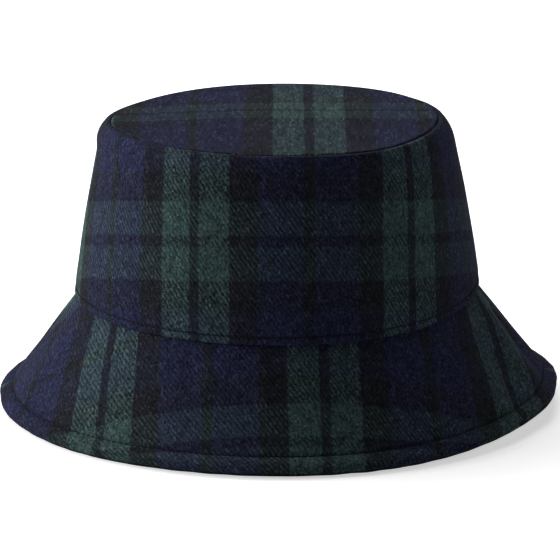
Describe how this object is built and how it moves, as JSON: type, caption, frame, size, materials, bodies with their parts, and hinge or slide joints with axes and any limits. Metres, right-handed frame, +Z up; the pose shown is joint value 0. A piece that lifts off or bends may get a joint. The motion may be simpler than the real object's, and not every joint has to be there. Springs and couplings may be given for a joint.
{
  "type": "bucket hat",
  "caption": "Lined bucket hat in brushed wool check cloth: flat oval tip, tapered side crown, stitched sloping brim, inner sweatband and care label.",
  "frame": {"origin": "centre of the oval, on the surface that the rim stands on", "axes": "+Z up through the crown, -Y to the wearer's front, +X to the right as seen from the front"},
  "size_m": [0.2534, 0.2718, 0.1315],
  "materials": {
    "wool_check": "brushed wool twill in green, navy and black check",
    "stiffener": "stiff bonded interlining",
    "wadding": "soft needled interlining",
    "satin_lining": "plain satin, soft gloss",
    "sweatband_twill": "matt cotton twill band",
    "label_ribbon": "blank white ribbon",
    "sewing_thread": "spun polyester thread"
  },
  "bodies": {
    "hat": {"crown_tip": "wool_check", "side_crown_front": "wool_check", "side_crown_back": "wool_check", "brim_upper_front": "wool_check", "brim_upper_back": "wool_check", "brim_under_front": "wool_check", "brim_under_back": "wool_check", "brim_interlining": "stiffener", "tip_interlining": "wadding", "side_interlining_front": "wadding", "side_interlining_back": "wadding", "lining_tip": "satin_lining", "lining_side_front": "satin_lining", "lining_side_back": "satin_lining", "sweatband": "sweatband_twill", "tip_seam_thread": "sewing_thread", "brim_seam_thread": "sewing_thread", "crown_edge_topstitch": "sewing_thread", "rim_seam_thread": "sewing_thread", "brim_topstitch_upper": "sewing_thread", "brim_topstitch_under": "sewing_thread", "sweatband_topstitch": "sewing_thread", "lining_seam_thread": "sewing_thread"},
    "label": {"care_label": "label_ribbon"}
  },
  "joints": [
    {"name": "label_flap", "type": "hinge", "parent": "hat", "child": "label", "pos_m": [-0.07953, 0, 0.08364], "axis": [-0.2137, 0, -0.9769], "range_deg": [0, 160]}
  ]
}
